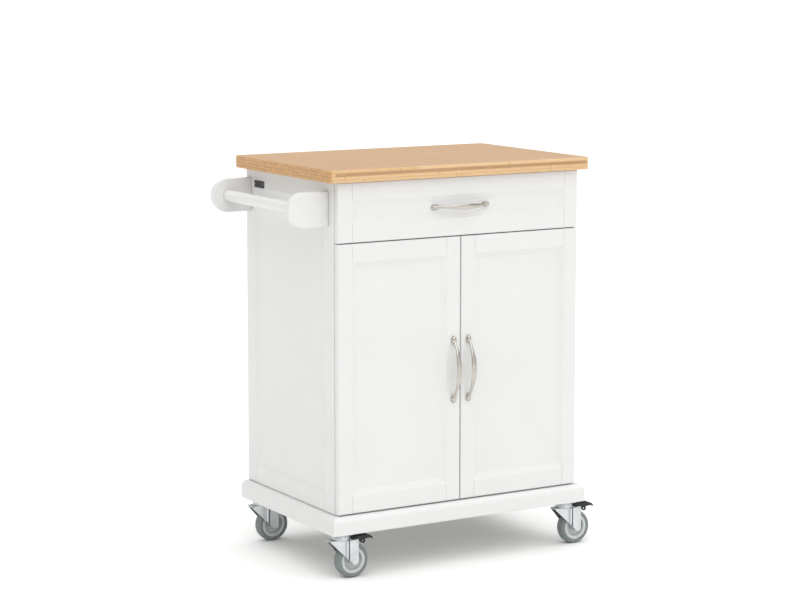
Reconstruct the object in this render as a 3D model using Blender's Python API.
"""Kitchen trolley with a butcher-block top.

A white cabinet on four swivel castors, with one drawer above a pair of doors, a thick bamboo
worktop and a towel rail on its left side. Run it from Blender's text editor or with
blender --background --python part.py. Metres, +Z up.

Lengths below are laid out in the cabinet's own frame: X runs to the right along the front, Y runs
from the front to the back, and (0, 0, 0) is on the floor below the middle of the side panels.
One parent empty then shifts the whole trolley so that the middle of its bounding box stands on the
world origin.
"""

import math

import bmesh
import bpy
from mathutils import Matrix, Vector

# ---------------------------------------------------------------------------
# Driving dimensions, in metres
# ---------------------------------------------------------------------------

HEIGHT = 0.880                  # floor to worktop surface
CLEARANCE = 0.0003              # gap kept between two pieces that touch
REVEAL = 0.002                  # visible gap between neighbouring fronts

# Worktop
TOP_THICKNESS = 0.027
TOP_SIDE_OVERHANG = 0.0225      # past the side panels
TOP_FRONT_OVERHANG = 0.0145     # past the faces of the doors
TOP_BACK_OVERHANG = 0.015       # past the back panel
TOP_CORNER_RADIUS = 0.014
TOP_EDGE_RADIUS = 0.0018

# Cabinet
CABINET_WIDTH = 0.615
CABINET_DEPTH = 0.400           # side panels, front edge to back edge
BOARD = 0.015                   # side panels, base, shelf, rails and fronts
BACK_PANEL = 0.006
RAIL_DEPTH = 0.060
SHELF_SETBACK = 0.035
DRAWER_SPACE = 0.130            # worktop's underside to the middle of the gap above the doors

# Framed panels: flat stiles and rails around a field set back behind a slope
STILE = 0.035
RAIL = 0.039
SIDE_STILE = 0.042
SIDE_RAIL = 0.041
FIELD_SLOPE = 0.014
FIELD_DEPTH = 0.006
SIDE_FIELD_SLOPE = 0.010
SIDE_FIELD_DEPTH = 0.004

# Fronts
FRONT_GAP = 0.0015              # between the cabinet's front edge and the back of the fronts
FRONT_INSET = 0.002             # cabinet side to the outer edge of a front
DOOR_FOOT_GAP = 0.0024          # plinth to the lower edge of the doors

# Plinth
PLINTH_HEIGHT = 0.039
PLINTH_SIDE_PROJECTION = 0.0175 # past the side panels
PLINTH_PROJECTION = 0.012       # past the faces of the doors
PLINTH_WALL = 0.018             # upright part of the board's section
PLINTH_FOOT = 0.062             # width of the ledge that carries the base and the castors
PLINTH_SLOPE_WIDTH = 0.013
PLINTH_SLOPE_HEIGHT = 0.015
PLINTH_SLOPE_STEPS = 4
PLINTH_EASING = 0.0015

# Drawer box and its runners
DRAWER_BOARD = 0.012
DRAWER_BACK_SPACE = 0.0652      # drawer back to back panel
DRAWER_HEIGHT = 0.080
DRAWER_BOTTOM = 0.004
DRAWER_BOTTOM_LIFT = 0.008      # lower edge of the sides to the bottom board
GROOVE_DEPTH = 0.005
RUNNER_SPACE = 0.0127           # cabinet side to drawer side
RUNNER_END_SPACE = 0.0085       # runner's back end to the drawer's back
RUNNER_SHEET = 0.0012
RUNNER_HEIGHT = 0.045
RUNNER_LIP = 0.005
RUNNER_CHANNEL_HEIGHT = 0.028
RUNNER_BALL_SPACE = 0.0032      # between the two members, where the balls run

# Handles
HANDLE_CENTRES = 0.128
HANDLE_FOOT_LENGTH = 0.020
HANDLE_FOOT_WIDTH = 0.0125
HANDLE_FOOT_HEIGHT = 0.0075
HANDLE_RISE = 0.0255            # door face to the middle of the bow
HANDLE_MIDDLE_WIDTH = 0.0135
HANDLE_NECK_WIDTH = 0.0055
HANDLE_THICKNESS = 0.0048
HANDLE_SWELL = 2.2              # how quickly the bow widens away from its necks
DOOR_HANDLE_INSET = 0.018       # from the door's free edge

# Concealed hinges
HINGE_END_DISTANCE = 0.090      # door end to cup centre
CUP_RADIUS = 0.0175
CUP_DEPTH = 0.0115
CUP_WALL = 0.0012
CUP_INSET = 0.0225              # door edge to cup centre
HINGE_AXIS_INSET = 0.005        # door edge to the axis the door swings on
HINGE_ARM_WIDTH = 0.014
HINGE_ARM_LENGTH = 0.047
HINGE_ARM_RISE = 0.013          # side panel to the top of the arm
HINGE_ARM_BEND = 0.014          # cabinet's front edge to the bend of the arm
HINGE_ARM_TAIL = 0.0078         # sloping end of the arm
HINGE_ARM_FOOT = 0.0072         # side panel to the underside of the arm's tip
HINGE_ARM_REACH = 0.0169        # side panel to the outer side of the arm's tip
HINGE_ARM_NECK = 0.0039         # slope between the arm's tip and its bend
HINGE_PLATE_HEIGHT = 0.044
HINGE_PLATE = 0.002
HINGE_PLATE_SETBACK = 0.0012    # plate's back end to the arm's end

# Towel rail
BRACKET_REACH = 0.095
BRACKET_HEIGHT = 0.075
BRACKET_THICKNESS = 0.016
BRACKET_DROP = 0.0585           # worktop's underside to the bar's axis
BRACKET_FRONT_SETBACK = 0.020
BRACKET_BACK_SETBACK = 0.010
BRACKET_EDGE_RADIUS = 0.0015
TOWEL_BAR_RADIUS = 0.0125
TOWEL_BAR_SEAT = 0.008          # depth of the bar's blind hole in each bracket

# Castors
CASTOR_HEAD = 0.025             # top of the wheel to the plinth's underside
CASTOR_INSET_X = 0.035          # plinth edge to swivel axis
CASTOR_INSET_Y = 0.031
CASTOR_TRAIL = 0.025
WHEEL_RADIUS = 0.0375
WHEEL_WIDTH = 0.026
TYRE_THICKNESS = 0.0085
TYRE_BEAD_WIDTH = 0.0236        # width of the tyre where it grips the hub
TYRE_TREAD_WIDTH = 0.0106       # flat part that rolls on the floor
TYRE_SHOULDER_WIDTH = 0.0196
TYRE_SHOULDER_DROP = 0.001      # tread to the shoulder
TYRE_SIDE_DROP = 0.0047         # tread to the widest place
HUB_RIM_WIDTH = 0.0225
HUB_RIM_THICKNESS = 0.0065
HUB_WEB = 0.007
HUB_BOSS_RADIUS = 0.009
AXLE_RADIUS = 0.004
BOLT_HEAD_HEIGHT = 0.002
BOLT_HEAD_RADIUS = 0.0055
FORK_SHEET = 0.0025
FORK_WHEEL_GAP = 0.0025         # tyre wall to fork leg
FORK_CROWN_RADIUS = 0.0205
FORK_CROWN_BACK = 0.021         # swivel axis to the crown's back edge, in front of the pedal
FORK_FOOT_RADIUS = 0.008
FORK_FRONT_REACH = 0.030
FORK_NOSE_WIDTH = 0.021         # outside width at the front, where the legs close in
CASTOR_PLATE = 0.046
CASTOR_PLATE_THICKNESS = 0.0025
CASTOR_PLATE_CORNER = 0.007
RACEWAY_RADIUS = 0.0195
RACEWAY_NECK_RADIUS = 0.016
RACEWAY_HEIGHT = 0.0115
RACEWAY_SHOULDER = 0.005      # height of the raceway's straight side
KINGPIN_RADIUS = 0.0052
KINGPIN_HEAD_RADIUS = 0.0085
KINGPIN_HEAD = 0.0022

# Brake pedals of the front castors
PEDAL_WIDTH = 0.024
PEDAL_LENGTH = 0.046            # pivot to tip
PEDAL_PIVOT_X = 0.0275          # swivel axis to pedal pivot
PEDAL_PIVOT_DROP = 0.0192       # castor's top to pedal pivot
PEDAL_BARREL_RADIUS = 0.0042
PEDAL_LUG_WIDTH = 0.005
PEDAL_EYE_RADIUS = 0.003
PEDAL_EYE_WALL = 0.002         # from the hole to the outside of the lug
PEDAL_EYE_SHARE = 0.585         # where the eye is, as a share of the pedal's length
PEDAL_EYE_DROP = 0.0057         # pivot to the eye, downwards
# Outlines as (share of the pedal's length, height above the pivot)
PEDAL_TREAD = (
    (-0.06, 0.0066), (0.00, 0.0078), (0.35, 0.0087), (0.76, 0.0096), (0.90, 0.0068),
    (1.00, 0.0012), (0.985, -0.0004), (0.80, 0.0024), (0.55, 0.0014), (0.25, -0.0012),
)
PEDAL_LUG = ((0.46, -0.0078), (0.28, -0.0010), (0.30, 0.0042), (0.72, 0.0048))

# Facets of the round pieces and of the handles
WHEEL_SEGMENTS = 32
SMALL_SEGMENTS = 20
HEX_SEGMENTS = 6
EYE_SEGMENTS = 12
CORNER_SEGMENTS = 5
NOSE_SEGMENTS = 6
BRACKET_SEGMENTS = 14
HANDLE_STEPS = 14
HANDLE_SIDES = 8
DOME_STEPS = 4
TOP_EDGE_STEPS = 2
BRACKET_EDGE_STEPS = 1
SMOOTH_ANGLE = math.radians(35)
EASING_ANGLE = math.radians(50)
CUT_PAST = 0.010                # how far a cutter goes past the face it opens

# ---------------------------------------------------------------------------
# Places that follow from the sizes
# ---------------------------------------------------------------------------

CASTOR_HEIGHT = 2 * WHEEL_RADIUS + CASTOR_HEAD

CABINET_SIDE = CABINET_WIDTH / 2
CABINET_FRONT = -CABINET_DEPTH / 2
CABINET_BACK = CABINET_DEPTH / 2
INNER_SIDE = CABINET_SIDE - BOARD

FRONT_BACK_Y = CABINET_FRONT - FRONT_GAP
FRONT_FACE_Y = FRONT_BACK_Y - BOARD
FRONT_SIDE = CABINET_SIDE - FRONT_INSET

PLINTH_SIDE = CABINET_SIDE + PLINTH_SIDE_PROJECTION
PLINTH_FRONT = FRONT_FACE_Y - PLINTH_PROJECTION
PLINTH_BOTTOM = CASTOR_HEIGHT
PLINTH_TOP = PLINTH_BOTTOM + PLINTH_HEIGHT
PLINTH_LEDGE = PLINTH_TOP - BOARD - CLEARANCE

TOP_UNDERSIDE = HEIGHT - TOP_THICKNESS
TOP_SIDE = CABINET_SIDE + TOP_SIDE_OVERHANG
TOP_FRONT = FRONT_FACE_Y - TOP_FRONT_OVERHANG
TOP_BACK = CABINET_BACK + TOP_BACK_OVERHANG

DRAWER_DOOR_LINE = TOP_UNDERSIDE - DRAWER_SPACE
DRAWER_FRONT_BOTTOM = DRAWER_DOOR_LINE + REVEAL / 2
DRAWER_FRONT_TOP = TOP_UNDERSIDE - REVEAL / 2
DOOR_TOP = DRAWER_DOOR_LINE - REVEAL / 2
DOOR_BOTTOM = PLINTH_TOP + DOOR_FOOT_GAP
DOOR_MIDDLE = (DOOR_TOP + DOOR_BOTTOM) / 2      # the shelf and the door handles are here too

DRAWER_OPENING_BOTTOM = DRAWER_DOOR_LINE + BOARD / 2
DRAWER_OPENING_TOP = TOP_UNDERSIDE - BOARD - CLEARANCE
DRAWER_MIDDLE = (DRAWER_OPENING_BOTTOM + DRAWER_OPENING_TOP) / 2
DRAWER_SIDE = INNER_SIDE - RUNNER_SPACE
DRAWER_BOX_BOTTOM = DRAWER_MIDDLE - DRAWER_HEIGHT / 2
DRAWER_BOX_TOP = DRAWER_MIDDLE + DRAWER_HEIGHT / 2
DRAWER_BOX_FRONT = FRONT_BACK_Y + CLEARANCE
DRAWER_BOX_BACK = CABINET_BACK - BACK_PANEL - DRAWER_BACK_SPACE
RUNNER_FRONT = CABINET_FRONT + CLEARANCE
RUNNER_BACK = DRAWER_BOX_BACK - RUNNER_END_SPACE

BRACKET_OUTER_X = -CABINET_SIDE - BRACKET_REACH
BRACKET_RADIUS = BRACKET_HEIGHT / 2
BRACKET_MIDDLE = TOP_UNDERSIDE - BRACKET_DROP
TOWEL_BAR_X = BRACKET_OUTER_X + BRACKET_RADIUS
FRONT_BRACKET_Y = CABINET_FRONT + BRACKET_FRONT_SETBACK
BACK_BRACKET_Y = CABINET_BACK - BRACKET_BACK_SETBACK - BRACKET_THICKNESS

CASTOR_X = PLINTH_SIDE - CASTOR_INSET_X
CASTOR_FRONT_Y = PLINTH_FRONT + CASTOR_INSET_Y
CASTOR_BACK_Y = CABINET_BACK - CASTOR_INSET_Y

# Castor heights, measured down from the top of the mounting plate
CASTOR_TOP = CASTOR_HEIGHT - CLEARANCE
RACEWAY_BOTTOM = CASTOR_TOP - CASTOR_PLATE_THICKNESS - RACEWAY_HEIGHT
CROWN_TOP = RACEWAY_BOTTOM - CLEARANCE
CROWN_BOTTOM = CROWN_TOP - FORK_SHEET
FORK_INNER_Y = WHEEL_WIDTH / 2 + FORK_WHEEL_GAP
FORK_OUTER_Y = FORK_INNER_Y + FORK_SHEET
FORK_BACK_REACH = CASTOR_TRAIL + FORK_FOOT_RADIUS
PEDAL_PIVOT_Z = CASTOR_TOP - PEDAL_PIVOT_DROP

# The bounding box runs from the towel brackets to the furthest of the worktop, the right-hand
# wheels and the brake pedal, and from the worktop's front edge or the handles to its back edge.
BOX_LEFT = BRACKET_OUTER_X
BOX_RIGHT = max(
    TOP_SIDE,
    CASTOR_X + CASTOR_TRAIL + WHEEL_RADIUS,
    CASTOR_X + PEDAL_PIVOT_X + PEDAL_LENGTH,
)
BOX_FRONT = min(TOP_FRONT, FRONT_FACE_Y - CLEARANCE - HANDLE_RISE - HANDLE_THICKNESS / 2)
BOX_BACK = TOP_BACK
BOX_CENTRE = Vector(((BOX_LEFT + BOX_RIGHT) / 2, (BOX_FRONT + BOX_BACK) / 2, 0.0))

# ---------------------------------------------------------------------------
# Scene, materials and objects
# ---------------------------------------------------------------------------


def clear_scene():
    """Remove every object, so that the script can run again in the same file."""
    for old in list(bpy.data.objects):
        bpy.data.objects.remove(old, do_unlink=True)


def make_material(name, colour, roughness, metallic=0.0):
    """One Principled material with a plain colour."""
    material = bpy.data.materials.new(name)
    material.use_nodes = True
    shader = material.node_tree.nodes["Principled BSDF"]
    shader.inputs["Base Color"].default_value = (*colour, 1.0)
    shader.inputs["Roughness"].default_value = roughness
    shader.inputs["Metallic"].default_value = metallic
    return material


def make_materials():
    """The materials of the trolley, by name."""
    return {
        "lacquer": make_material("white satin lacquer", (0.86, 0.86, 0.86), 0.35),
        "melamine": make_material("white melamine", (0.82, 0.82, 0.82), 0.45),
        "bamboo": make_material("bamboo block", (0.62, 0.38, 0.17), 0.40),
        "nickel": make_material("satin nickel", (0.56, 0.55, 0.52), 0.30, 1.0),
        "zinc": make_material("zinc plated steel", (0.66, 0.68, 0.70), 0.35, 1.0),
        "tyre": make_material("grey rubber", (0.20, 0.21, 0.21), 0.60),
        "hub": make_material("light grey plastic", (0.46, 0.46, 0.45), 0.45),
        "pedal": make_material("black plastic", (0.02, 0.02, 0.02), 0.40),
    }


def make_empty(name, parent, position):
    """A parent empty at `position`, given in the cabinet's frame."""
    empty = bpy.data.objects.new(name, None)
    bpy.context.scene.collection.objects.link(empty)
    empty.empty_display_size = 0.05
    empty.parent = parent
    empty.location = Vector(position) - cabinet_position(parent)
    return empty


def cabinet_position(anchor):
    """Where an empty stands in the cabinet's frame."""
    position = Vector((0.0, 0.0, 0.0))
    while anchor is not None and anchor.parent is not None:
        position = position + anchor.location
        anchor = anchor.parent
    return position


def make_mesh(name, solid, material, smooth=False):
    """Turn a closed bmesh into a mesh whose faces point outwards."""
    bmesh.ops.recalc_face_normals(solid, faces=solid.faces)
    mesh = bpy.data.meshes.new(name)
    solid.to_mesh(mesh)
    solid.free()
    mesh.materials.clear()
    mesh.materials.append(material)
    if smooth:
        mesh.shade_smooth()
        mesh.set_sharp_from_angle(angle=SMOOTH_ANGLE)
    return mesh


def place(name, mesh, anchor, position, rotation=(0.0, 0.0, 0.0)):
    """One named object at `position` in the cabinet's frame, parented to `anchor`."""
    piece = bpy.data.objects.new(name, mesh)
    bpy.context.scene.collection.objects.link(piece)
    piece.parent = anchor
    piece.location = Vector(position) - cabinet_position(anchor)
    piece.rotation_euler = rotation
    return piece


def add_piece(name, solid, material, anchor, smooth=False):
    """Place a solid that is modelled in the cabinet's frame, with its origin at its middle."""
    corners = [vertex.co.copy() for vertex in solid.verts]
    low = Vector(min(corner[axis] for corner in corners) for axis in range(3))
    high = Vector(max(corner[axis] for corner in corners) for axis in range(3))
    middle = (low + high) / 2
    bmesh.ops.translate(solid, verts=solid.verts, vec=-middle)
    return place(name, make_mesh(name, solid, material, smooth), anchor, middle)


# ---------------------------------------------------------------------------
# Solids
# ---------------------------------------------------------------------------


def box(low, high):
    """A box between two corners."""
    solid = bmesh.new()
    size = [high[axis] - low[axis] for axis in range(3)]
    middle = [(high[axis] + low[axis]) / 2 for axis in range(3)]
    matrix = Matrix.Translation(middle) @ Matrix.Diagonal((*size, 1.0))
    bmesh.ops.create_cube(solid, size=1.0, matrix=matrix)
    return solid


def prism(outline, axis, start, end):
    """Extrude a closed outline along an axis; the outline's two coordinates are the other axes."""
    solid = bmesh.new()
    ends = []
    for along in (start, end):
        ring = []
        for first, second in outline:
            point = [first, second]
            point.insert("XYZ".index(axis), along)
            ring.append(solid.verts.new(point))
        ends.append(ring)
    solid.faces.new(ends[0])
    solid.faces.new(ends[1])
    count = len(outline)
    for index in range(count):
        after = (index + 1) % count
        solid.faces.new((ends[0][index], ends[0][after], ends[1][after], ends[1][index]))
    bmesh.ops.recalc_face_normals(solid, faces=solid.faces)
    return solid


def turned(profile, axis, centre, segments):
    """Spin a closed profile of (radius, distance along the axis) points about an axis."""
    solid = bmesh.new()
    index = "XYZ".index(axis)
    across = (index + 1) % 3
    ring = []
    for radius, along in profile:
        point = [0.0, 0.0, 0.0]
        point[index] = along
        point[across] = radius
        ring.append(solid.verts.new(Vector(point) + Vector(centre)))
    on_axis = profile[0][0] == 0.0 and profile[-1][0] == 0.0
    last = len(ring) - 1 if on_axis else len(ring)
    edges = [solid.edges.new((ring[i], ring[(i + 1) % len(ring)])) for i in range(last)]
    direction = Vector(1.0 if i == index else 0.0 for i in range(3))
    bmesh.ops.spin(
        solid, geom=ring + edges, cent=centre, axis=direction,
        angle=math.tau, steps=segments, use_duplicate=False,
    )
    bmesh.ops.remove_doubles(solid, verts=solid.verts, dist=1e-6)
    return solid


def cylinder(radius, axis, centre, start, end, segments=SMALL_SEGMENTS):
    """A solid cylinder between two distances from `centre` along an axis."""
    index = "XYZ".index(axis)
    middle = [centre[other] for other in range(3) if other != index]
    outline = arc(middle, radius, 0, 360 - 360 / segments, segments - 1)
    return prism(outline, axis, centre[index] + start, centre[index] + end)


def arc(centre, radius, start, end, steps):
    """Points along a circular arc, angles in degrees."""
    points = []
    for step in range(steps + 1):
        angle = math.radians(start + (end - start) * step / steps)
        points.append((centre[0] + radius * math.cos(angle), centre[1] + radius * math.sin(angle)))
    return points


def rounded_rectangle(low, high, radius, steps=CORNER_SEGMENTS):
    """Outline of a rectangle with round corners."""
    inner_low = (low[0] + radius, low[1] + radius)
    inner_high = (high[0] - radius, high[1] - radius)
    outline = arc(inner_high, radius, 0, 90, steps)
    outline += arc((inner_low[0], inner_high[1]), radius, 90, 180, steps)
    outline += arc(inner_low, radius, 180, 270, steps)
    outline += arc((inner_high[0], inner_low[1]), radius, 270, 360, steps)
    return outline


def temporary_object(solid):
    """A short-lived object for a Boolean."""
    mesh = bpy.data.meshes.new("temporary")
    bmesh.ops.recalc_face_normals(solid, faces=solid.faces)
    solid.to_mesh(mesh)
    solid.free()
    holder = bpy.data.objects.new("temporary", mesh)
    bpy.context.scene.collection.objects.link(holder)
    return holder


def combine(base, additions=(), cuts=(), common=()):
    """Join solids to `base`, cut others out of it, keep what it has in common with the last ones."""
    target = temporary_object(base)
    helpers = []
    for operation, solids in (
        ("UNION", additions), ("DIFFERENCE", cuts), ("INTERSECT", common),
    ):
        for solid in solids:
            helper = temporary_object(solid)
            boolean = target.modifiers.new(operation, "BOOLEAN")
            boolean.operation = operation
            boolean.solver = "EXACT"
            boolean.object = helper
            helpers.append(helper)
    result = bmesh.new()
    result.from_object(target, bpy.context.evaluated_depsgraph_get())
    for used in (target, *helpers):
        mesh = used.data
        bpy.data.objects.remove(used, do_unlink=True)
        bpy.data.meshes.remove(mesh)
    return result


def ease_edges(solid, width, segments):
    """Round every sharp edge of a convex or plate-like solid."""
    solid.normal_update()
    sharp = [edge for edge in solid.edges if edge.calc_face_angle() > EASING_ANGLE]
    bmesh.ops.bevel(
        solid, geom=sharp, offset=width, offset_type="OFFSET",
        segments=segments, profile=0.5, affect="EDGES",
    )
    return solid


def framed_panel(width, height, thickness, stile, rail, slope, depth):
    """An upright panel in the XZ plane whose front, at y = 0, has a set-back field."""
    half_width = width / 2
    half_height = height / 2
    loops = (
        (half_width, half_height, thickness),
        (half_width, half_height, 0.0),
        (half_width - stile, half_height - rail, 0.0),
        (half_width - stile - slope, half_height - rail - slope, depth),
    )
    solid = bmesh.new()
    rings = []
    for x, z, y in loops:
        corners = ((-x, -z), (x, -z), (x, z), (-x, z))
        rings.append([solid.verts.new((corner_x, y, corner_z)) for corner_x, corner_z in corners])
    solid.faces.new(rings[0])
    solid.faces.new(rings[-1])
    for outer, inner in zip(rings, rings[1:]):
        for index in range(4):
            after = (index + 1) % 4
            solid.faces.new((outer[index], outer[after], inner[after], inner[index]))
    return solid


# ---------------------------------------------------------------------------
# Carcass
# ---------------------------------------------------------------------------


def build_worktop(materials, trolley):
    """The thick block on top, with round upright corners and an eased rim."""
    outline = rounded_rectangle((-TOP_SIDE, TOP_FRONT), (TOP_SIDE, TOP_BACK), TOP_CORNER_RADIUS)
    block = prism(outline, "Z", TOP_UNDERSIDE, HEIGHT)
    block = ease_edges(block, TOP_EDGE_RADIUS, TOP_EDGE_STEPS)
    add_piece("worktop", block, materials["bamboo"], trolley)


def build_side_panels(materials, trolley):
    """Framed side panels, the set-back field facing outwards."""
    bottom = PLINTH_TOP + CLEARANCE
    top = TOP_UNDERSIDE - CLEARANCE
    for name, side in (("left_side_panel", -1), ("right_side_panel", 1)):
        panel = framed_panel(
            CABINET_DEPTH, top - bottom, BOARD,
            SIDE_STILE, SIDE_RAIL, SIDE_FIELD_SLOPE, SIDE_FIELD_DEPTH,
        )
        turn = Matrix.Rotation(math.radians(90 * side), 4, "Z")
        shift = Matrix.Translation((side * CABINET_SIDE, 0.0, (top + bottom) / 2))
        bmesh.ops.transform(panel, matrix=shift @ turn, verts=panel.verts)
        add_piece(name, panel, materials["lacquer"], trolley)


def build_boards(materials, trolley):
    """Back, base, shelf and the three cross rails between the side panels."""
    side = INNER_SIDE - CLEARANCE
    top = TOP_UNDERSIDE - CLEARANCE
    back = CABINET_BACK - BACK_PANEL
    boards = {
        "back_panel": (
            (-side, back, PLINTH_TOP + CLEARANCE),
            (side, CABINET_BACK, top),
        ),
        "base_board": (
            (CLEARANCE + PLINTH_WALL - PLINTH_SIDE, PLINTH_FRONT + PLINTH_WALL + CLEARANCE,
             PLINTH_TOP - BOARD),
            (PLINTH_SIDE - PLINTH_WALL - CLEARANCE, CABINET_BACK, PLINTH_TOP),
        ),
        "shelf": (
            (-side, CABINET_FRONT + SHELF_SETBACK, DOOR_MIDDLE - BOARD / 2),
            (side, back - CLEARANCE, DOOR_MIDDLE + BOARD / 2),
        ),
        "top_front_rail": (
            (-side, CABINET_FRONT, top - BOARD),
            (side, CABINET_FRONT + RAIL_DEPTH, top),
        ),
        "top_rear_rail": (
            (-side, back - CLEARANCE - RAIL_DEPTH, top - BOARD),
            (side, back - CLEARANCE, top),
        ),
        "middle_rail": (
            (-side, CABINET_FRONT, DRAWER_DOOR_LINE - BOARD / 2),
            (side, CABINET_FRONT + RAIL_DEPTH, DRAWER_DOOR_LINE + BOARD / 2),
        ),
    }
    for name, (low, high) in boards.items():
        add_piece(name, box(low, high), materials["melamine"], trolley)


def plinth_section():
    """Section of a plinth board: (distance inwards from its face, height) points."""
    slope_start = PLINTH_TOP - PLINTH_SLOPE_HEIGHT
    section = [(PLINTH_EASING, PLINTH_BOTTOM), (0.0, PLINTH_BOTTOM + PLINTH_EASING)]
    for step in range(PLINTH_SLOPE_STEPS + 1):
        angle = math.radians(90 * step / PLINTH_SLOPE_STEPS)
        inwards = PLINTH_SLOPE_WIDTH * (1 - math.cos(angle))
        height = slope_start + PLINTH_SLOPE_HEIGHT * math.sin(angle)
        section.append((inwards, height))
    section += [
        (PLINTH_WALL, PLINTH_TOP),
        (PLINTH_WALL, PLINTH_LEDGE),
        (PLINTH_FOOT, PLINTH_LEDGE),
        (PLINTH_FOOT, PLINTH_BOTTOM),
    ]
    return section


def swept_board(section, start_point, end_point):
    """A board with one section, whose two ends are given by a function of the inward distance."""
    solid = bmesh.new()
    starts = [solid.verts.new(start_point(inwards, height)) for inwards, height in section]
    ends = [solid.verts.new(end_point(inwards, height)) for inwards, height in section]
    solid.faces.new(starts)
    solid.faces.new(ends)
    for index in range(len(section)):
        after = (index + 1) % len(section)
        solid.faces.new((starts[index], starts[after], ends[after], ends[index]))
    return solid


def build_plinth(materials, trolley):
    """Front and side boards, mitred at the front corners, and a plain back board between them."""
    section = plinth_section()
    front = swept_board(
        section,
        lambda inwards, height: (inwards + CLEARANCE - PLINTH_SIDE, PLINTH_FRONT + inwards, height),
        lambda inwards, height: (PLINTH_SIDE - inwards - CLEARANCE, PLINTH_FRONT + inwards, height),
    )
    add_piece("plinth_front", front, materials["lacquer"], trolley)
    for name, side in (("plinth_left", -1), ("plinth_right", 1)):
        board = swept_board(
            section,
            lambda inwards, height: (side * (PLINTH_SIDE - inwards), PLINTH_FRONT + inwards, height),
            lambda inwards, height: (side * (PLINTH_SIDE - inwards), CABINET_BACK, height),
        )
        add_piece(name, board, materials["lacquer"], trolley)
    end = PLINTH_SIDE - PLINTH_FOOT - CLEARANCE
    back = box(
        (-end, CABINET_BACK - PLINTH_FOOT, PLINTH_BOTTOM),
        (end, CABINET_BACK, PLINTH_LEDGE),
    )
    add_piece("plinth_back", back, materials["lacquer"], trolley)


# ---------------------------------------------------------------------------
# Handles
# ---------------------------------------------------------------------------


def handle_bow():
    """The bow: narrow at its necks, wide and flat in the middle, along X and out towards -Y."""
    reach = HANDLE_CENTRES / 2
    foot = HANDLE_FOOT_HEIGHT / 2
    solid = bmesh.new()
    rings = []
    for step in range(HANDLE_STEPS + 1):
        share = 2 * step / HANDLE_STEPS - 1
        x = share * reach
        rise = foot + (HANDLE_RISE - foot) * (1 - share * share)
        slope = -2 * (HANDLE_RISE - foot) * share / reach
        outwards = Vector((slope, 1.0)).normalized()
        swell = math.cos(share * math.pi / 2) ** HANDLE_SWELL if abs(share) < 1 else 0.0
        half_width = (HANDLE_NECK_WIDTH + (HANDLE_MIDDLE_WIDTH - HANDLE_NECK_WIDTH) * swell) / 2
        half_thickness = HANDLE_THICKNESS / 2
        ring = []
        for side in range(HANDLE_SIDES):
            angle = math.tau * side / HANDLE_SIDES
            lift = half_thickness * math.cos(angle)
            across = half_width * math.sin(angle)
            ring.append(solid.verts.new((
                x - outwards.x * lift,
                -(rise + outwards.y * lift),
                across,
            )))
        rings.append(ring)
    solid.faces.new(rings[0])
    solid.faces.new(rings[-1])
    for first, second in zip(rings, rings[1:]):
        for side in range(HANDLE_SIDES):
            after = (side + 1) % HANDLE_SIDES
            solid.faces.new((first[side], first[after], second[after], second[side]))
    return solid


def handle_foot(x):
    """An oval dome that stands on the face at y = 0."""
    profile = [(0.0, 0.0)]
    for step in range(DOME_STEPS + 1):
        angle = math.radians(90 * step / DOME_STEPS)
        profile.append((math.cos(angle) if step < DOME_STEPS else 0.0, -math.sin(angle)))
    dome = turned(profile, "Y", (0.0, 0.0, 0.0), HANDLE_SIDES * 2)
    size = Matrix.Diagonal((HANDLE_FOOT_LENGTH / 2, HANDLE_FOOT_HEIGHT, HANDLE_FOOT_WIDTH / 2, 1.0))
    matrix = Matrix.Translation((x, 0.0, 0.0)) @ size
    bmesh.ops.transform(dome, matrix=matrix, verts=dome.verts)
    return dome


def handle_mesh(materials):
    """One handle with its two feet; the drawer and both doors share this mesh."""
    reach = HANDLE_CENTRES / 2
    solid = combine(handle_bow(), additions=(handle_foot(-reach), handle_foot(reach)))
    return make_mesh("bow_handle", solid, materials["nickel"], smooth=True)


# ---------------------------------------------------------------------------
# Drawer
# ---------------------------------------------------------------------------


def drawer_side_section(side):
    """Section of a drawer side, with the groove that holds the bottom board."""
    outer = side * DRAWER_SIDE
    inner = side * (DRAWER_SIDE - DRAWER_BOARD)
    groove = side * (DRAWER_SIDE - DRAWER_BOARD + GROOVE_DEPTH)
    groove_low = DRAWER_BOX_BOTTOM + DRAWER_BOTTOM_LIFT - CLEARANCE
    groove_high = groove_low + DRAWER_BOTTOM + 2 * CLEARANCE
    return [
        (outer, DRAWER_BOX_BOTTOM), (inner, DRAWER_BOX_BOTTOM), (inner, groove_low),
        (groove, groove_low), (groove, groove_high), (inner, groove_high),
        (inner, DRAWER_BOX_TOP), (outer, DRAWER_BOX_TOP),
    ]


def runner_profile(side, points):
    """Turn (distance from the cabinet side, height from the runner's middle) into (x, z)."""
    return [(side * (INNER_SIDE - inwards), DRAWER_MIDDLE + height) for inwards, height in points]


def cabinet_runner_points():
    """The outer channel, screwed to the cabinet side, with lips that hold the balls."""
    half = RUNNER_HEIGHT / 2
    mouth = RUNNER_SPACE - RUNNER_BALL_SPACE
    back = CLEARANCE
    sheet = RUNNER_SHEET
    lip = half - RUNNER_LIP
    return [
        (back, -half), (mouth, -half), (mouth, -lip), (mouth - sheet, -lip),
        (mouth - sheet, sheet - half), (back + sheet, sheet - half),
        (back + sheet, half - sheet), (mouth - sheet, half - sheet),
        (mouth - sheet, lip), (mouth, lip), (mouth, half), (back, half),
    ]


def drawer_runner_points():
    """The inner channel, screwed to the drawer side, open towards the cabinet side."""
    half = RUNNER_CHANNEL_HEIGHT / 2
    face = RUNNER_SPACE - CLEARANCE
    sheet = RUNNER_SHEET
    open_edge = RUNNER_BALL_SPACE
    return [
        (face, -half), (open_edge, -half), (open_edge, sheet - half), (face - sheet, sheet - half),
        (face - sheet, half - sheet), (open_edge, half - sheet), (open_edge, half), (face, half),
    ]


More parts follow.
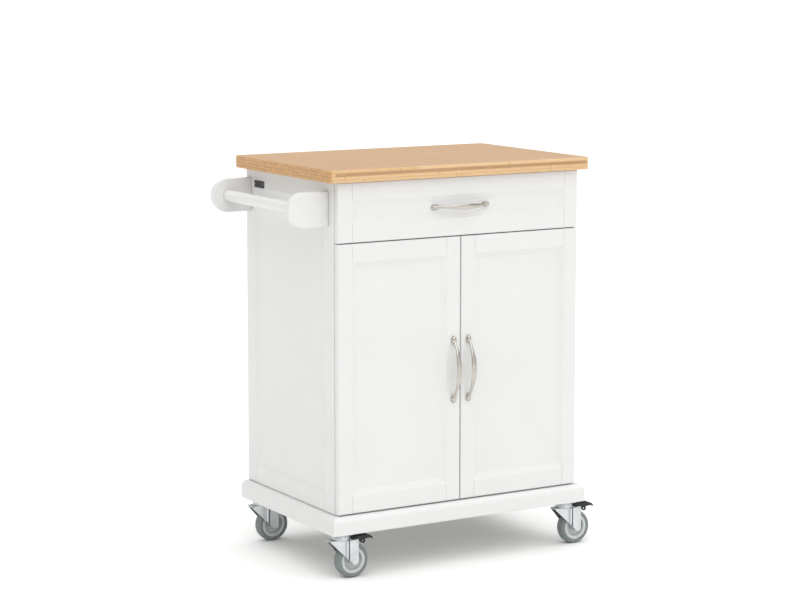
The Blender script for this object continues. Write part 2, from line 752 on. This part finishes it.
def build_drawer(materials, trolley, drawer, handle):
    """The drawer front, its box, its handle and both pairs of runner members."""
    middle = (DRAWER_FRONT_BOTTOM + DRAWER_FRONT_TOP) / 2
    height = DRAWER_FRONT_TOP - DRAWER_FRONT_BOTTOM
    front = framed_panel(2 * FRONT_SIDE, height, BOARD, STILE, RAIL, FIELD_SLOPE, FIELD_DEPTH)
    bmesh.ops.translate(front, verts=front.verts, vec=(0.0, FRONT_FACE_Y, middle))
    add_piece("drawer_front", front, materials["lacquer"], drawer)

    field = FRONT_FACE_Y + FIELD_DEPTH
    place("drawer_handle", handle, drawer, (0.0, field - CLEARANCE, middle))

    sides = (("left", -1), ("right", 1))
    for word, side in sides:
        board = prism(drawer_side_section(side), "Y", DRAWER_BOX_FRONT, DRAWER_BOX_BACK)
        add_piece(f"drawer_side_{word}", board, materials["melamine"], drawer)

    inner = DRAWER_SIDE - DRAWER_BOARD - CLEARANCE
    back = box(
        (-inner, DRAWER_BOX_BACK - DRAWER_BOARD, DRAWER_BOX_BOTTOM),
        (inner, DRAWER_BOX_BACK, DRAWER_BOX_TOP),
    )
    add_piece("drawer_back", back, materials["melamine"], drawer)

    bottom_edge = DRAWER_SIDE - DRAWER_BOARD + GROOVE_DEPTH - CLEARANCE
    bottom_height = DRAWER_BOX_BOTTOM + DRAWER_BOTTOM_LIFT
    bottom = box(
        (-bottom_edge, DRAWER_BOX_FRONT, bottom_height),
        (bottom_edge, DRAWER_BOX_BACK - DRAWER_BOARD - CLEARANCE, bottom_height + DRAWER_BOTTOM),
    )
    add_piece("drawer_bottom", bottom, materials["melamine"], drawer)

    for word, side in sides:
        outline = runner_profile(side, cabinet_runner_points())
        fixed = prism(outline, "Y", RUNNER_FRONT, RUNNER_BACK)
        add_piece(f"runner_{word}_cabinet", fixed, materials["zinc"], trolley)
        outline = runner_profile(side, drawer_runner_points())
        moving = prism(outline, "Y", RUNNER_FRONT, RUNNER_BACK)
        add_piece(f"runner_{word}_drawer", moving, materials["zinc"], drawer)


# ---------------------------------------------------------------------------
# Doors
# ---------------------------------------------------------------------------


def hinge_heights():
    """Heights of the lower and the upper hinge."""
    return (("lower", DOOR_BOTTOM + HINGE_END_DISTANCE), ("upper", DOOR_TOP - HINGE_END_DISTANCE))


def hinge_cup(x, z):
    """A thin cup, open towards the cabinet, seated in the door."""
    radius = CUP_RADIUS - CLEARANCE
    closed_end = FRONT_BACK_Y - CUP_DEPTH + CLEARANCE
    open_end = FRONT_BACK_Y
    profile = [
        (0.0, closed_end), (radius, closed_end), (radius, open_end), (radius - CUP_WALL, open_end),
        (radius - CUP_WALL, closed_end + CUP_WALL), (0.0, closed_end + CUP_WALL),
    ]
    return turned(profile, "Y", (x, 0.0, z), SMALL_SEGMENTS)


def hinge_arm(side, z):
    """The arm and its base plate, screwed to the inner face of a side panel."""
    tip = FRONT_BACK_Y + 3 * CLEARANCE
    tail = CABINET_FRONT + HINGE_ARM_LENGTH
    bend = CABINET_FRONT + HINGE_ARM_BEND
    points = [
        (CLEARANCE, tail), (HINGE_ARM_TAIL, tail), (HINGE_ARM_RISE, tail - HINGE_ARM_TAIL),
        (HINGE_ARM_RISE, bend), (HINGE_ARM_REACH, tip), (HINGE_ARM_FOOT, tip),
        (HINGE_ARM_FOOT, bend - HINGE_ARM_NECK), (CLEARANCE, bend),
    ]
    outline = [(side * (INNER_SIDE - inwards), y) for inwards, y in points]
    arm = prism(outline, "Z", z - HINGE_ARM_WIDTH / 2, z + HINGE_ARM_WIDTH / 2)
    wall = side * (INNER_SIDE - CLEARANCE)
    face = side * (INNER_SIDE - CLEARANCE - HINGE_PLATE)
    plate = box(
        (min(wall, face), bend + CLEARANCE, z - HINGE_PLATE_HEIGHT / 2),
        (max(wall, face), tail - HINGE_PLATE_SETBACK, z + HINGE_PLATE_HEIGHT / 2),
    )
    return combine(arm, additions=(plate,))


def build_doors(materials, trolley, doors, handle):
    """Two framed doors with their handles, hinge cups and hinge arms."""
    width = FRONT_SIDE - REVEAL / 2
    height = DOOR_TOP - DOOR_BOTTOM
    for word, side in (("left", -1), ("right", 1)):
        leaf = framed_panel(width, height, BOARD, STILE, RAIL, FIELD_SLOPE, FIELD_DEPTH)
        centre_x = side * (REVEAL / 2 + width / 2)
        bmesh.ops.translate(leaf, verts=leaf.verts, vec=(centre_x, FRONT_FACE_Y, DOOR_MIDDLE))
        cup_x = side * (FRONT_SIDE - CUP_INSET)
        pockets = [
            cylinder(CUP_RADIUS, "Y", (cup_x, 0.0, z), FRONT_BACK_Y - CUP_DEPTH, CABINET_FRONT)
            for _, z in hinge_heights()
        ]
        leaf = combine(leaf, cuts=pockets)
        anchor = doors[word]
        add_piece(f"{word}_door", leaf, materials["lacquer"], anchor)

        handle_x = side * (REVEAL / 2 + DOOR_HANDLE_INSET)
        place(
            f"{word}_door_handle", handle, anchor,
            (handle_x, FRONT_FACE_Y - CLEARANCE, DOOR_MIDDLE),
            rotation=(0.0, math.radians(90), 0.0),
        )
        for level, z in hinge_heights():
            cup = hinge_cup(cup_x, z)
            add_piece(f"{word}_hinge_cup_{level}", cup, materials["nickel"], anchor, smooth=True)
            arm = hinge_arm(side, z)
            add_piece(f"{word}_hinge_arm_{level}", arm, materials["nickel"], trolley)


# ---------------------------------------------------------------------------
# Towel rail
# ---------------------------------------------------------------------------


def bracket(front_y, seat_start, seat_end):
    """A flat bracket with a round outer end and a blind hole for the bar."""
    wall = -CABINET_SIDE - CLEARANCE
    outline = arc((TOWEL_BAR_X, BRACKET_MIDDLE), BRACKET_RADIUS, 90, 270, BRACKET_SEGMENTS)
    outline += [(wall, BRACKET_MIDDLE - BRACKET_RADIUS), (wall, BRACKET_MIDDLE + BRACKET_RADIUS)]
    plate = prism(outline, "Y", front_y, front_y + BRACKET_THICKNESS)
    plate = ease_edges(plate, BRACKET_EDGE_RADIUS, BRACKET_EDGE_STEPS)
    centre = (TOWEL_BAR_X, 0.0, BRACKET_MIDDLE)
    seat = cylinder(TOWEL_BAR_RADIUS + CLEARANCE, "Y", centre, seat_start, seat_end)
    return plate, seat


def build_towel_rail(materials, trolley):
    """Two brackets on the left side panel and the round bar between them."""
    front_inner = FRONT_BRACKET_Y + BRACKET_THICKNESS
    back_inner = BACK_BRACKET_Y
    seats = {
        "towel_bracket_front": (
            FRONT_BRACKET_Y, front_inner - TOWEL_BAR_SEAT, front_inner + CUT_PAST,
        ),
        "towel_bracket_back": (
            BACK_BRACKET_Y, back_inner - CUT_PAST, back_inner + TOWEL_BAR_SEAT,
        ),
    }
    for name, (front_y, seat_start, seat_end) in seats.items():
        plate, seat = bracket(front_y, seat_start, seat_end)
        add_piece(name, combine(plate, cuts=(seat,)), materials["lacquer"], trolley)
    bar = cylinder(
        TOWEL_BAR_RADIUS, "Y", (TOWEL_BAR_X, 0.0, BRACKET_MIDDLE),
        front_inner - TOWEL_BAR_SEAT + CLEARANCE, back_inner + TOWEL_BAR_SEAT - CLEARANCE,
    )
    add_piece("towel_bar", bar, materials["lacquer"], trolley, smooth=True)


# ---------------------------------------------------------------------------
# Castors, modelled about the swivel axis at x = y = 0, with the wheel trailing towards +X
# ---------------------------------------------------------------------------


def castor_plate():
    """Mounting plate with the raceway below it and the kingpin that holds the fork."""
    half = CASTOR_PLATE / 2
    outline = rounded_rectangle((-half, -half), (half, half), CASTOR_PLATE_CORNER, 3)
    plate_bottom = CASTOR_TOP - CASTOR_PLATE_THICKNESS
    plate = prism(outline, "Z", plate_bottom, CASTOR_TOP)
    inside = plate_bottom + CASTOR_PLATE_THICKNESS / 2
    head_top = CROWN_BOTTOM - CLEARANCE
    profile = [
        (0.0, inside), (RACEWAY_NECK_RADIUS, inside), (RACEWAY_NECK_RADIUS, plate_bottom),
        (RACEWAY_RADIUS, RACEWAY_BOTTOM + RACEWAY_SHOULDER), (RACEWAY_RADIUS, RACEWAY_BOTTOM),
        (KINGPIN_RADIUS, RACEWAY_BOTTOM), (KINGPIN_RADIUS, head_top),
        (KINGPIN_HEAD_RADIUS, head_top), (KINGPIN_HEAD_RADIUS, head_top - KINGPIN_HEAD),
        (0.0, head_top - KINGPIN_HEAD),
    ]
    raceway = turned(profile, "Z", (0.0, 0.0, 0.0), SMALL_SEGMENTS)
    return combine(plate, additions=(raceway,))


def fork_leg_outline():
    """Outline of a fork leg in the XZ plane: a slanted front edge and an upright back edge."""
    foot = (CASTOR_TRAIL, WHEEL_RADIUS)
    top_front = Vector((-FORK_FRONT_REACH, CROWN_BOTTOM))
    away = Vector(foot) - top_front
    tangent = math.degrees(math.atan2(away.y, away.x))
    spread = math.degrees(math.asin(FORK_FOOT_RADIUS / away.length))
    start = tangent + 270 - spread
    outline = arc(foot, FORK_FOOT_RADIUS, start - 360, 0, CORNER_SEGMENTS + 2)
    outline += [
        (FORK_BACK_REACH, CROWN_TOP),
        (-FORK_FRONT_REACH, CROWN_TOP),
        (-FORK_FRONT_REACH, CROWN_BOTTOM),
    ]
    return outline


def fork_side(inset, front, back):
    """One side of the fork seen from above: it closes in towards the front and is flat behind."""
    nose = FORK_OUTER_Y - FORK_NOSE_WIDTH / 2
    points = [(front, FORK_OUTER_Y - inset - nose)]
    for step in range(1, NOSE_SEGMENTS + 1):
        share = step / NOSE_SEGMENTS
        closed = nose * (1 + math.cos(math.pi * share)) / 2
        points.append((-FORK_FRONT_REACH * (1 - share), FORK_OUTER_Y - inset - closed))
    points.append((back, FORK_OUTER_Y - inset))
    return points


def castor_fork():
    """A crown that turns under the raceway, and two legs that hold the wheel."""
    edge = fork_side(0.0, -FORK_FRONT_REACH - CUT_PAST, FORK_BACK_REACH + CUT_PAST)
    block = prism(edge + [(x, -y) for x, y in reversed(edge)], "Z", 0.0, CROWN_TOP + CUT_PAST)
    outline = prism(fork_leg_outline(), "Y", -FORK_OUTER_Y - CUT_PAST, FORK_OUTER_Y + CUT_PAST)
    block = combine(block, common=(outline,))

    past = 2 * CUT_PAST
    edge = fork_side(FORK_SHEET, -FORK_FRONT_REACH - past, FORK_BACK_REACH + past)
    inside = prism(edge + [(x, -y) for x, y in reversed(edge)], "Z", -CUT_PAST, CROWN_BOTTOM)
    opening = FORK_INNER_Y - FORK_SHEET / 2
    crown_back = box(
        (FORK_CROWN_BACK, -opening, CROWN_BOTTOM - CUT_PAST),
        (FORK_BACK_REACH + CUT_PAST, opening, CROWN_TOP + CUT_PAST),
    )
    fork = combine(block, cuts=(inside, crown_back))

    disc = cylinder(FORK_CROWN_RADIUS, "Z", (0.0, 0.0, 0.0), CROWN_BOTTOM, CROWN_TOP)
    pin_hole = cylinder(
        KINGPIN_RADIUS + CLEARANCE, "Z", (0.0, 0.0, 0.0),
        CROWN_BOTTOM - CUT_PAST, CROWN_TOP + CUT_PAST,
    )
    axle_hole = cylinder(
        AXLE_RADIUS + CLEARANCE, "Y", (CASTOR_TRAIL, 0.0, WHEEL_RADIUS),
        -FORK_OUTER_Y - CUT_PAST, FORK_OUTER_Y + CUT_PAST,
    )
    return combine(fork, additions=(disc,), cuts=(pin_hole, axle_hole))


def castor_tyre():
    """Rubber ring with round shoulders, about the wheel's own axis."""
    half = [
        (WHEEL_RADIUS, TYRE_TREAD_WIDTH / 2),
        (WHEEL_RADIUS - TYRE_SHOULDER_DROP, TYRE_SHOULDER_WIDTH / 2),
        (WHEEL_RADIUS - TYRE_SIDE_DROP, WHEEL_WIDTH / 2),
        (WHEEL_RADIUS - TYRE_THICKNESS, TYRE_BEAD_WIDTH / 2),
    ]
    other_half = [(radius, -along) for radius, along in reversed(half)]
    return turned(half + other_half, "Y", (0.0, 0.0, 0.0), WHEEL_SEGMENTS)


def castor_hub():
    """Plastic hub: a rim inside the tyre, a thin web and a boss that runs on the axle."""
    rim_outer = WHEEL_RADIUS - TYRE_THICKNESS - CLEARANCE
    rim_inner = rim_outer - HUB_RIM_THICKNESS
    rim = HUB_RIM_WIDTH / 2
    web = HUB_WEB / 2
    boss = FORK_INNER_Y - 2 * CLEARANCE
    bore = AXLE_RADIUS + CLEARANCE
    half = [
        (bore, boss), (HUB_BOSS_RADIUS, boss), (HUB_BOSS_RADIUS, web), (rim_inner, web),
        (rim_inner, rim), (rim_outer, rim),
    ]
    other_half = [(radius, -along) for radius, along in reversed(half)]
    return turned(half + other_half, "Y", (0.0, 0.0, 0.0), WHEEL_SEGMENTS)


def castor_axle():
    """Axle bolt with its hexagon head and nut, one on each side of the fork."""
    inside = FORK_OUTER_Y + CLEARANCE
    outside = inside + BOLT_HEAD_HEIGHT
    centre = (0.0, 0.0, 0.0)
    pin_end = (inside + outside) / 2
    pin = cylinder(AXLE_RADIUS, "Y", centre, -pin_end, pin_end)
    head = cylinder(BOLT_HEAD_RADIUS, "Y", centre, -outside, -inside, segments=HEX_SEGMENTS)
    nut = cylinder(BOLT_HEAD_RADIUS, "Y", centre, inside, outside, segments=HEX_SEGMENTS)
    return combine(pin, additions=(head, nut))


def brake_pedal():
    """Foot pedal, about its own pivot at the origin: a barrel, a tread and a lug with an eye."""
    tread = arc((0.0, 0.0), PEDAL_BARREL_RADIUS, 240, 150, CORNER_SEGMENTS)
    tread += [(share * PEDAL_LENGTH, height) for share, height in PEDAL_TREAD]
    eye = (PEDAL_EYE_SHARE * PEDAL_LENGTH, -PEDAL_EYE_DROP)
    lug = arc(eye, PEDAL_EYE_RADIUS + PEDAL_EYE_WALL, 20, -110, CORNER_SEGMENTS + 1)
    lug += [(share * PEDAL_LENGTH, height) for share, height in PEDAL_LUG]
    half = PEDAL_WIDTH / 2
    lug_half = PEDAL_LUG_WIDTH / 2
    body = prism(tread, "Y", -half, half)
    lug_body = prism(lug, "Y", -lug_half, lug_half)
    hole = cylinder(
        PEDAL_EYE_RADIUS, "Y", (eye[0], 0.0, eye[1]),
        -lug_half - CUT_PAST, lug_half + CUT_PAST, segments=EYE_SEGMENTS,
    )
    return combine(body, additions=(lug_body,), cuts=(hole,))


def build_castors(materials, trolley):
    """Four swivel castors that share their meshes; the two front ones have a brake pedal."""
    plate = make_mesh("castor_plate", castor_plate(), materials["zinc"], smooth=True)
    fork = make_mesh("castor_fork", castor_fork(), materials["zinc"], smooth=True)
    tyre = make_mesh("castor_tyre", castor_tyre(), materials["tyre"], smooth=True)
    hub = make_mesh("castor_hub", castor_hub(), materials["hub"], smooth=True)
    axle = make_mesh("castor_axle", castor_axle(), materials["zinc"], smooth=True)
    pedal = make_mesh("brake_pedal", brake_pedal(), materials["pedal"], smooth=True)
    corners = {
        "front_left": (-CASTOR_X, CASTOR_FRONT_Y),
        "front_right": (CASTOR_X, CASTOR_FRONT_Y),
        "back_left": (-CASTOR_X, CASTOR_BACK_Y),
        "back_right": (CASTOR_X, CASTOR_BACK_Y),
    }
    for corner, (x, y) in corners.items():
        foot = (x, y, 0.0)
        centre = (x + CASTOR_TRAIL, y, WHEEL_RADIUS)
        swivel = make_empty(f"castor_{corner}_swivel", trolley, foot)
        wheel = make_empty(f"castor_{corner}_wheel", swivel, centre)
        place(f"castor_{corner}_plate", plate, trolley, foot)
        place(f"castor_{corner}_fork", fork, swivel, foot)
        place(f"castor_{corner}_axle", axle, swivel, centre)
        place(f"castor_{corner}_tyre", tyre, wheel, centre)
        place(f"castor_{corner}_hub", hub, wheel, centre)
        if corner.startswith("front"):
            pivot = (x + PEDAL_PIVOT_X, y, PEDAL_PIVOT_Z)
            place(f"brake_pedal_{corner}", pedal, swivel, pivot)


# ---------------------------------------------------------------------------
# The whole trolley
# ---------------------------------------------------------------------------


def main():
    """Build every piece below one parent empty that centres the trolley on the origin."""
    clear_scene()
    materials = make_materials()
    trolley = bpy.data.objects.new("trolley", None)
    bpy.context.scene.collection.objects.link(trolley)
    trolley.location = -BOX_CENTRE

    drawer = make_empty("drawer", trolley, (0.0, FRONT_FACE_Y, DRAWER_MIDDLE))
    axis_x = FRONT_SIDE - HINGE_AXIS_INSET
    doors = {
        "left": make_empty("left_door_axis", trolley, (-axis_x, FRONT_FACE_Y, DOOR_BOTTOM)),
        "right": make_empty("right_door_axis", trolley, (axis_x, FRONT_FACE_Y, DOOR_BOTTOM)),
    }
    handle = handle_mesh(materials)

    build_worktop(materials, trolley)
    build_side_panels(materials, trolley)
    build_boards(materials, trolley)
    build_plinth(materials, trolley)
    build_drawer(materials, trolley, drawer, handle)
    build_doors(materials, trolley, doors, handle)
    build_towel_rail(materials, trolley)
    build_castors(materials, trolley)


main()
